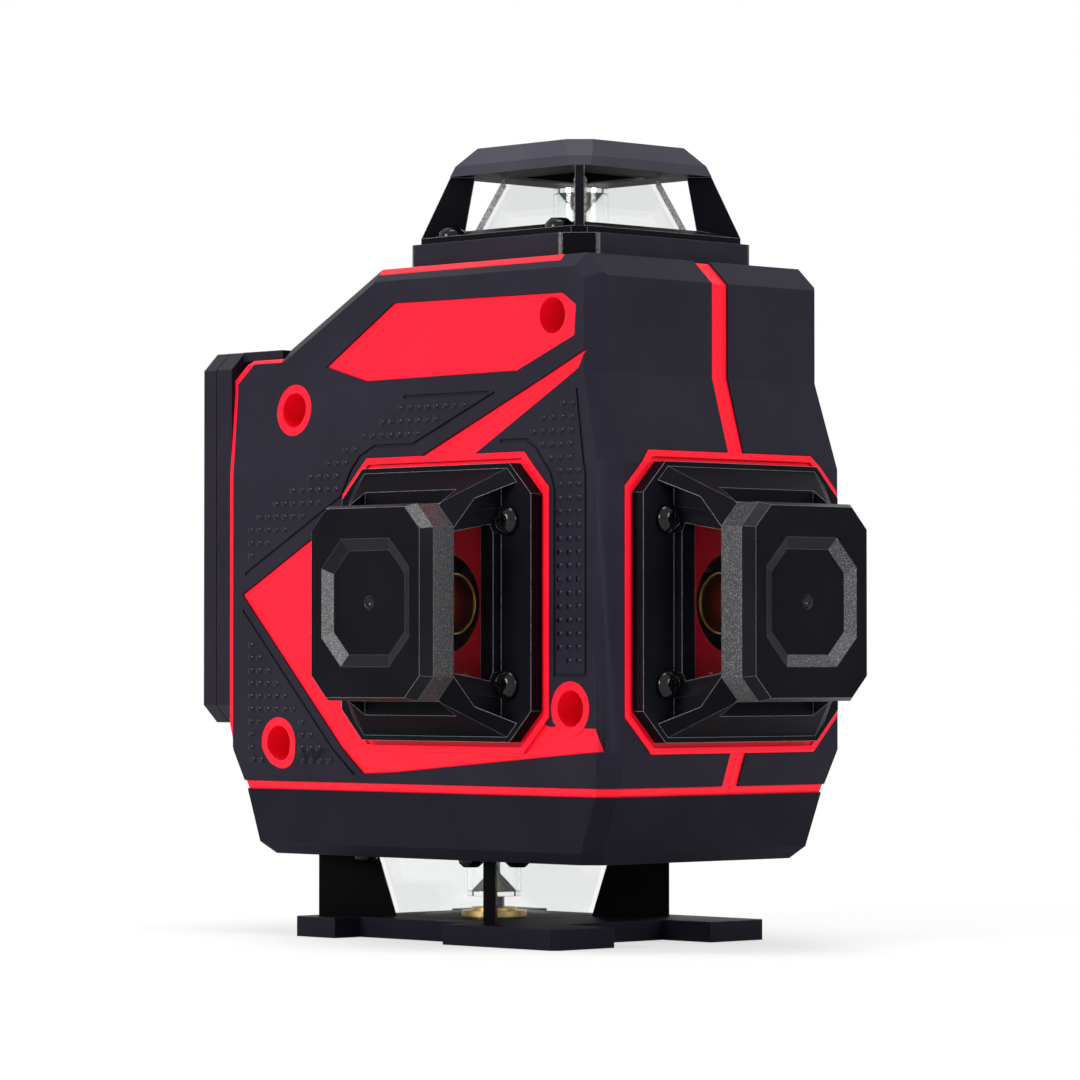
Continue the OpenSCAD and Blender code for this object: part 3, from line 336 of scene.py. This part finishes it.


# %% [markdown]
# ## Plastics and rubber
# The shell is a bright red satin moulding. The rubber skin is a soft matt black with a touch of violet, and
# it mirrors little, so it stays dark under a white sky. The covers and the block share that violet, with a
# little more shine. The legs of the lower window stand in the level's own shadow, and painted shade makes
# them nearly black. The roof of the top window lies open to the sky, and painted light makes it the palest
# of the blacks. The hoods are harder and blacker. A painted highlight in grey lies along the hard edges of
# all these covers, a light grey on those of the hoods. The dots of the skins are polished and shine with a
# violet tint, as the skin around them does.

# %% Finishes of the mouldings
# The last number of some finishes is the grey of a painted highlight along their edges.
skin_rubber = finish("skin_rubber", (0.0085, 0.007, 0.0145), (0.0125, 0.0105, 0.0195), (0.5, 0.64),
                     2600, 0.00003, mirrored=0.1, edge=0.35)
red_moulding = finish("red_moulding", (0.93, 0.0025, 0.02), (0.98, 0.004, 0.026), (0.34, 0.44),
                      1800, 0.00001, mirrored=0.18, edge=0.25)
cover_black = finish("cover_black", (0.0075, 0.0055, 0.013), (0.0105, 0.008, 0.017), (0.42, 0.54),
                     2200, 0.00002, mirrored=0.1, edge=0.3, painted_edge_grey=0.03)
under_black = finish("under_black", (0.006, 0.0048, 0.0105), (0.0085, 0.007, 0.0135), (0.48, 0.6),
                     2200, 0.00002, mirrored=0.06, edge=0.3, painted_edge_grey=0.03)
# Painted shade: the legs' near-black colour stands in for the level's own shadow on them.
leg_painted_shade = finish("leg_painted_shade", (0.001, 0.001, 0.0015), (0.002, 0.002, 0.003), (0.5, 0.6),
                   2200, 0.00002, mirrored=0.05, edge=0.3, painted_edge_grey=0.02)
# Painted light: the roof's paler colour stands in for the light of the sky falling on it.
roof_painted_light = finish("roof_painted_light", (0.022, 0.02, 0.033), (0.03, 0.027, 0.042), (0.5, 0.6),
                    2200, 0.00002, mirrored=0.2, edge=0.2, painted_edge_grey=0.08)
block_black = finish("block_black", (0.0085, 0.007, 0.0145), (0.0125, 0.0105, 0.0195), (0.4, 0.5),
                     2200, 0.00002, mirrored=0.1, edge=0.2, painted_edge_grey=0.12)
hood_black = finish("hood_black", (0.0015, 0.0013, 0.003), (0.0035, 0.003, 0.0055), (0.5, 0.62),
                    2800, 0.00002, mirrored=0.05, edge=0.16, painted_edge_grey=0.6)
# Painted shade: a darker copy of the grain for the cap's faces that turn away from the lamps.
grain_and_painted_shade = finish("grain_and_painted_shade", (0.002, 0.002, 0.0035), (0.006, 0.006, 0.009), (0.36, 0.46),
                    3600, 0.00005, mirrored=0.12, edge=0.16, painted_edge_grey=0.6)
polished_dot = finish("polished_dot", (0.002, 0.0015, 0.003), (0.004, 0.003, 0.006), (0.12, 0.18),
                      900, 0.000004, mirrored=0.3, edge=0.45)
violet_shine = (0.72, 0.68, 0.9, 1)
polished_dot.node_tree.nodes["Principled BSDF"].inputs["Specular Tint"].default_value = violet_shine
screw_black = finish("screw_black", (0.002, 0.002, 0.003), (0.004, 0.004, 0.005), (0.1, 0.16),
                     900, 0.000004, mirrored=0.25, edge=0.2)
key_red = finish("key_red", (0.5, 0.02, 0.025), (0.6, 0.03, 0.035), (0.5, 0.6), 1800, 0.00002, edge=0.3)
key_grey = finish("key_grey", (0.06, 0.06, 0.07), (0.08, 0.08, 0.09), (0.5, 0.6), 1800, 0.00002, edge=0.3)
cell_blue = finish("cell_blue", (0.02, 0.1, 0.4), (0.03, 0.12, 0.45), (0.2, 0.3), 900, 0.000002)
lens_green = finish("lens_green", (0.1, 0.5, 0.15), (0.15, 0.6, 0.2), (0.1, 0.15), 300, 0.000001)
print("finishes so far:", len(made_finishes))

# %% [markdown]
# ## Metals and boards
# A metal has no colour of its own under its shine, so its tint is that of what it mirrors. Turned brass and
# ground steel are smooth, the cast alloy of the pendulum and its gimbal is rough, and the cones are mirrors.

# %% Finishes of the metals and boards
steel = finish("steel", (0.5, 0.51, 0.53), (0.62, 0.63, 0.65), (0.25, 0.35), 900, 0.000005, metal=1)
brass = finish("brass", (0.6, 0.42, 0.17), (0.72, 0.52, 0.24), (0.25, 0.38), 900, 0.000005, metal=1)
alloy = finish("alloy", (0.42, 0.43, 0.45), (0.5, 0.51, 0.53), (0.42, 0.55), 900, 0.00003, metal=1)
mirror = finish("mirror", (0.88, 0.88, 0.9), (0.92, 0.92, 0.94), (0.03, 0.05), 300, 0.000001, metal=1)
copper = finish("copper", (0.68, 0.32, 0.2), (0.78, 0.4, 0.26), (0.28, 0.4), 900, 0.000005, metal=1)
board_green = finish("board_green", (0.01, 0.12, 0.04), (0.015, 0.16, 0.05), (0.3, 0.4), 900, 0.000005)
print("finishes so far:", len(made_finishes))

# %% [markdown]
# ## Spark grain and painted glints
# The narrow faces of the hoods' caps were left coarse in the mould, as spark erosion leaves them. They look
# paler than the flat faces where the lamps strike them, because hundreds of tiny facets catch the lamps.
# Facets of their own would take a huge mesh, so a second, sharper noise paints the brightest of them into the
# colour
# as glints: a painted highlight.

# %% Coarse grain with painted glints for the caps' narrow faces
grain_and_painted_light = finish("grain_and_painted_light", (0.02, 0.021, 0.025), (0.03, 0.031, 0.036), (0.36, 0.46),
                     3600, 0.00007, mirrored=0.5, edge=0.2)
tree = grain_and_painted_light.node_tree
speckle = tree.nodes.new("ShaderNodeTexNoise")
speckle.inputs["Scale"].default_value = 4200
speckle.inputs["Detail"].default_value = 1
# The glint colours are a painted highlight from the lamps, laid into the base colour.
glint = tree.nodes.new("ShaderNodeValToRGB")
glint.color_ramp.elements[0].position = 0.52
glint.color_ramp.elements[0].color = (0.012, 0.0125, 0.015, 1)
glint.color_ramp.elements[1].position = 0.7
glint.color_ramp.elements[1].color = (0.15, 0.155, 0.165, 1)
tree.links.new(tree.nodes["Texture Coordinate"].outputs["Object"], speckle.inputs["Vector"])
tree.links.new(speckle.outputs["Fac"], glint.inputs["Fac"])
tree.links.new(glint.outputs["Color"], tree.nodes["Principled BSDF"].inputs["Base Color"])
print("finishes so far:", len(made_finishes))

# %% [markdown]
# ## Glass
# The small tubes around the cones are clear glass that bends the light. The flat panes of the windows are
# thin for their size, so they only mirror a little, more where they are seen at a slant, and let the rest
# straight through. Neither keeps the lamps out, because for shadow rays both are clear. The upright edges of
# the panes are ground: a frosted strip runs along each, thinner in some places than in others.

# %% Glass of the tubes
tube_glass = bpy.data.materials.new("tube_glass")
tube_glass.use_nodes = True
tree = tube_glass.node_tree
shader = tree.nodes["Principled BSDF"]
shader.inputs["Transmission Weight"].default_value = 1.0
shader.inputs["IOR"].default_value = 1.47
shader.inputs["Roughness"].default_value = 0.0
shader.inputs["Base Color"].default_value = (0.97, 0.99, 0.98, 1)
rays = tree.nodes.new("ShaderNodeLightPath")
see_through = tree.nodes.new("ShaderNodeBsdfTransparent")
mixed = mix_surfaces(tree, rays.outputs["Is Shadow Ray"], shader, see_through)
tree.links.new(mixed.outputs[0], tree.nodes["Material Output"].inputs["Surface"])
print("tubes:", tube_glass.name)

# %% Panes of the windows
least_mirrored = 0.05

pane_glass = bare_material("pane_glass")
tree = pane_glass.node_tree
slant = tree.nodes.new("ShaderNodeLayerWeight")
slant.inputs["Blend"].default_value = 0.5
steep = tree.nodes.new("ShaderNodeMath")
steep.operation = "POWER"
steep.inputs[1].default_value = 4
mirrored = tree.nodes.new("ShaderNodeMapRange")
mirrored.inputs["To Min"].default_value = least_mirrored
rays = tree.nodes.new("ShaderNodeLightPath")
share = tree.nodes.new("ShaderNodeMath")
share.operation = "SUBTRACT"
share.use_clamp = True
see_through = tree.nodes.new("ShaderNodeBsdfTransparent")
see_through.inputs["Color"].default_value = (0.985, 0.992, 0.989, 1)
sheen = tree.nodes.new("ShaderNodeBsdfGlossy")
sheen.inputs["Roughness"].default_value = 0.03
tree.links.new(slant.outputs["Facing"], steep.inputs[0])
tree.links.new(steep.outputs[0], mirrored.inputs["Value"])
tree.links.new(mirrored.outputs["Result"], share.inputs[0])
tree.links.new(rays.outputs["Is Shadow Ray"], share.inputs[1])
mixed = mix_surfaces(tree, share.outputs[0], see_through, sheen)
tree.links.new(mixed.outputs[0], tree.nodes["Material Output"].inputs["Surface"])
print("panes:", pane_glass.name)

# %% Ground edges of the panes
ground_glass = finish("ground_glass", (0.02, 0.022, 0.022), (0.42, 0.44, 0.44), (0.45, 0.6), 2400, 0.00006)
tree = ground_glass.node_tree
scratch = tree.nodes.new("ShaderNodeTexNoise")
scratch.inputs["Scale"].default_value = 1900
scratch.inputs["Detail"].default_value = 3
thickness = tree.nodes.new("ShaderNodeMapRange")
thickness.inputs["From Min"].default_value = 0.4
thickness.inputs["From Max"].default_value = 0.6
thickness.inputs["To Min"].default_value = 0.5
thickness.inputs["To Max"].default_value = 0.9
tree.links.new(tree.nodes["Texture Coordinate"].outputs["Object"], scratch.inputs["Vector"])
tree.links.new(scratch.outputs["Fac"], thickness.inputs["Value"])
tree.links.new(scratch.outputs["Fac"], tree.nodes["Color Ramp"].inputs["Fac"])
tree.links.new(thickness.outputs["Result"], tree.nodes["Principled BSDF"].inputs["Alpha"])
print("ground strips:", ground_glass.name)

# %% [markdown]
# ## Pieces with one finish
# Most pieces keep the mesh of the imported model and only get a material. Each is named here once.


# %% Dressing the nodes that keep their own mesh
def dress(material, *names):
    """Gives CAD nodes a finish."""
    for name in names:
        nodes[name].data.materials.clear()
        nodes[name].data.materials.append(material)
    print(material.name, "-", len(names), "nodes")


dress(skin_rubber, "lock_pad")
dress(red_moulding, "left_shell", "right_shell", "keypad_bezel")
dress(cover_black, "back_shell", "battery_case", "lock_knob", "charge_port")
dress(under_black, "bottom_cover", "base_plate")
dress(leg_painted_shade, "lower_window_frame")
dress(key_red, "power_key")
dress(key_grey, "level_key", "plumb_key", "pulse_key")
dress(steel, "housing_screws", "base_screws", "chassis_screws", "lock_shaft", "lock_plate", "roll_pins",
      "pitch_pins", "roll_bearings", "pitch_bearings", "damping_magnets")
dress(brass, "tripod_insert", "dock_contacts", "battery_terminals", "top_laser", "bottom_laser",
      "front_laser", "side_laser", "balance_weights")
dress(alloy, "chassis", "gimbal_ring", "pendulum_block")
dress(mirror, "top_cone", "bottom_cone", "front_cone", "side_cone")
dress(copper, "damping_plate")
dress(board_green, "main_board", "key_board")
dress(cell_blue, "battery_cells")
dress(lens_green, "indicator_lenses")
dress(tube_glass, "cone_glasses")

# %% [markdown]
# ## Pieces with two finishes
# Fourteen pieces need more: a second finish on some of their faces, or smooth shading on their round heads.
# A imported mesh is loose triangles, on which neither works well. So a copy of the node is welded, its flat
# faces are joined into one each, and the copy stands for the node. The chosen faces are then found in code,
# by their place and their normal, with the model's own measures.


# %% A welded copy that stands for its node
def welded_copy(name, *materials):
    """A copy of a CAD node whose triangles are joined and whose flat faces are in one piece."""
    weld_gap = 0.001 * MM
    still_flat = math.radians(0.3)
    bpy.ops.object.select_all(action="DESELECT")
    piece = bpy.data.objects.new(name + "_dressed", nodes[name].data.copy())
    bpy.context.collection.objects.link(piece)
    bpy.context.view_layer.objects.active = piece
    piece.select_set(True)
    piece.data.materials.clear()
    for material in materials:
        piece.data.materials.append(material)
    bpy.ops.mesh.customdata_custom_splitnormals_clear()
    bpy.ops.object.mode_set(mode="EDIT")
    bpy.ops.mesh.select_mode(type="EDGE")
    bpy.ops.mesh.select_all(action="SELECT")
    bpy.ops.mesh.remove_doubles(threshold=weld_gap)
    bpy.ops.mesh.dissolve_limited(angle_limit=still_flat)
    bpy.ops.mesh.select_all(action="DESELECT")
    bpy.ops.object.mode_set(mode="OBJECT")
    for part in (*piece.data.vertices, *piece.data.edges, *piece.data.polygons):
        part.select = False
    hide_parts(name)
    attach(piece, nodes[name]["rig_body"])
    return piece


# %% [markdown]
# ## Window screws
# The screws that hold the windows are black and shiny, with round heads. The heads are made of flat facets,
# so they are shaded smooth. Only edges sharper than the angle given stay crisp, as those of the cross recess.

# %% Screws with round heads
for name in ("top_window_screws", "front_window_screws", "side_window_screws", "lower_window_screws"):
    piece = welded_copy(name, screw_black)
    bpy.ops.object.shade_smooth_by_angle(angle=math.radians(50))
    print(name, "-", len(piece.data.polygons), "faces")

# %% [markdown]
# ## Grip dots
# Small round dots stand in fields on the rubber skins. They are polished, so a dot is blacker than the skin
# and has a bright point on it. A dot is a short rod that stands sideways out of the skin. Its faces are small
# and lie far out on the sides: its end is a round face with many corners, and its wall is a ring of narrow
# ones. Small faces near the front corner belong to the skin's own rounding.

# %% Grips with polished dots
dot_face_area = 1.1 * MM2
dots_beyond = 30 * MM
dots_behind = -63 * MM

for name in ("left_grip", "right_grip"):
    piece = welded_copy(name, skin_rubber, polished_dot)
    polished = 0
    for face in piece.data.polygons:
        placed = abs(face.center.x) > dots_beyond and face.center.y > dots_behind
        if face.area >= dot_face_area or not placed:
            continue
        corners = [piece.data.vertices[i].co for i in face.vertices]
        reach = max((a - b).length for a in corners for b in corners)
        round_end = len(corners) > 5 and face.area > 0.5 * reach ** 2
        rod_wall = abs(face.normal.x) < 0.5
        if round_end or rod_wall:
            face.material_index = 1
            polished += 1
    print(name, "-", polished, "polished faces")

# %% [markdown]
# ## Hoods
# A hood is a black frame that holds a thick cap in front of its window. The narrow faces of the cap have the
# coarse grain: its rim, the chamfer round its face and the slopes of the recess in its middle. But the grain
# only looks pale where the lamps strike it: on the rim, on the slopes that lean to the lamps and, on the side
# hood, on the corners of the chamfer. These faces get the grain with painted light and glints, and the others
# the same grain with painted shade. In the middle of the recess is a small dimple that shines like a screw.

# %% Side and front hood
hood_finishes = (hood_black, grain_and_painted_light, grain_and_painted_shade, screw_black)
# The second finish carries painted light and glints, the third painted shade, on the same grain.
PAINTED_LIGHT, PAINTED_SHADE, DIMPLE = 1, 2, 3
cap_back = 13.7 * MM
dimple_above = 10 * MM
dimple_radius = 2 * MM
dimple_face_area = 3 * MM2
to_the_lamps = Vector((-0.6, -0.74, 0.3))


def dress_hood(name, outward, seat, light_corners):
    """Gives the narrow faces of a hood's cap their grain, with painted light on those that meet the lamps and
    painted shade on the rest. The hood stands out from the housing along outward, at the distance seat from
    the level's axis."""
    piece = welded_copy(name, *hood_finishes)
    low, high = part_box(name)
    axis = (low + high) / 2
    grained = 0
    for face in piece.data.polygons:
        height = face.center.dot(outward) - seat
        facing = face.normal.dot(outward)
        side = face.center - axis
        side -= outward * side.dot(outward)
        if height > dimple_above and side.length < dimple_radius and face.area < dimple_face_area:
            face.material_index = DIMPLE
            continue
        if height < cap_back or facing < -0.2 or facing > 0.95:
            continue
        across = face.normal.cross(outward).z
        corner = abs(face.normal.z) > 0.3 and abs(across) > 0.3 and face.normal.z + face.normal.y > -0.3
        if facing < 0.2:
            light = True
        elif side.dot(face.normal) < 0:
            light = face.normal.dot(to_the_lamps) > 0.7
        else:
            light = light_corners and corner
        # The faces that meet the lamps get painted light, the others painted shade, on the same grain.
        face.material_index = PAINTED_LIGHT if light else PAINTED_SHADE
        grained += 1
    print(name, "-", grained, "grained faces")


dress_hood("front_window_frame", Vector((0, -1, 0)), seat=66.7 * MM, light_corners=False)
dress_hood("side_window_frame", Vector((-1, 0, 0)), seat=33.3 * MM, light_corners=True)

# %% [markdown]
# ## Top window
# The roof of the top window lies open to the sky, and painted light makes it paler than its posts. The block
# under it has pale, grainy lines down its outer corners, with painted glints on the grain. There a real bevel
# is made, because the coarse grain needs a face of its own to lie on: the eight upright edges of the cut
# corners are chosen by their place.

# %% Roof of the top window
roof_depth = 9 * MM

roof = welded_copy("top_window_frame", hood_black, roof_painted_light)
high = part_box("top_window_frame")[1]
for face in roof.data.polygons:
    # The faces turned up get the roof colour with painted light.
    if face.normal.z > 0.2 and face.center.z > high.z - roof_depth:
        face.material_index = 1
print("top_window_frame -", sum(face.material_index for face in roof.data.polygons), "roof faces")

# %% Block under the top window
bevel_width = 0.5 * MM
close = 0.1 * MM
least_height = 4 * MM

block = welded_copy("top_block", block_black, grain_and_painted_light, hood_black)
low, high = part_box("top_block")
for face in block.data.polygons:
    if abs(face.normal.x) > 0.3 and abs(face.normal.y) > 0.3:
        face.material_index = 2
for edge in block.data.edges:
    a, b = (block.data.vertices[i].co for i in edge.vertices)
    outside = min(a.x - low.x, high.x - a.x, a.y - low.y, high.y - a.y) < close
    upright = (a.xy - b.xy).length < close and abs(a.z - b.z) > least_height
    edge.select = outside and upright
count = sum(edge.select for edge in block.data.edges)
bpy.ops.object.mode_set(mode="EDIT")
# The bevel faces take the grain with painted glints: a painted highlight down the corners.
bpy.ops.mesh.bevel(offset=bevel_width, segments=3, clamp_overlap=False, loop_slide=False, material=1)
bpy.ops.mesh.select_all(action="DESELECT")
bpy.ops.object.mode_set(mode="OBJECT")
print("top_block -", count, "grained edges")

# %% [markdown]
# ## Panes
# Each window is closed by one piece of glass with four walls round its cone. The outer face of each wall is
# inset by the width of the ground strip, which splits it into a clear middle and four strips. The strips that
# run along the window's own axis, at the corners of the glass, stay ground. Those across it become clear
# again, as the middle does.

# %% Panes with ground edges
X, Y, Z = 0, 1, 2
window_axes = {"top_window_glass": Z, "front_window_glass": Y, "side_window_glass": X,
               "lower_window_glass": Z}
wall_area = 60 * MM2
strip_width = 1.7 * MM
strip_length = 5 * MM

for name, along in window_axes.items():
    piece = welded_copy(name, pane_glass, ground_glass)
    low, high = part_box(name)
    for face in piece.data.polygons:
        outer = face.normal.dot(face.center - (low + high) / 2) > 0
        face.select = outer and abs(face.normal[along]) < 0.9 and face.area > wall_area
        face.material_index = int(face.select)
    bpy.ops.object.mode_set(mode="EDIT")
    bpy.ops.mesh.select_mode(type="FACE")
    bpy.ops.mesh.inset(thickness=strip_width, depth=0, use_individual=True)
    bpy.ops.object.mode_set(mode="OBJECT")
    strips = 0
    for face in piece.data.polygons:
        ends = [piece.data.vertices[i].co[along] for i in face.vertices]
        if face.select or max(ends) - min(ends) < strip_length:
            face.material_index = 0
        strips += face.material_index
        face.select = False
    print(name, "-", strips, "ground strips")

# %% [markdown]
# ## Sizes
# The box of the dressed level is printed, to be held against that of the imported model. It comes last,
# because it looks at all that was made.

# %% Sizes
low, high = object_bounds()
print("visual box:", [round(v, 4) for v in (*low, *high)])
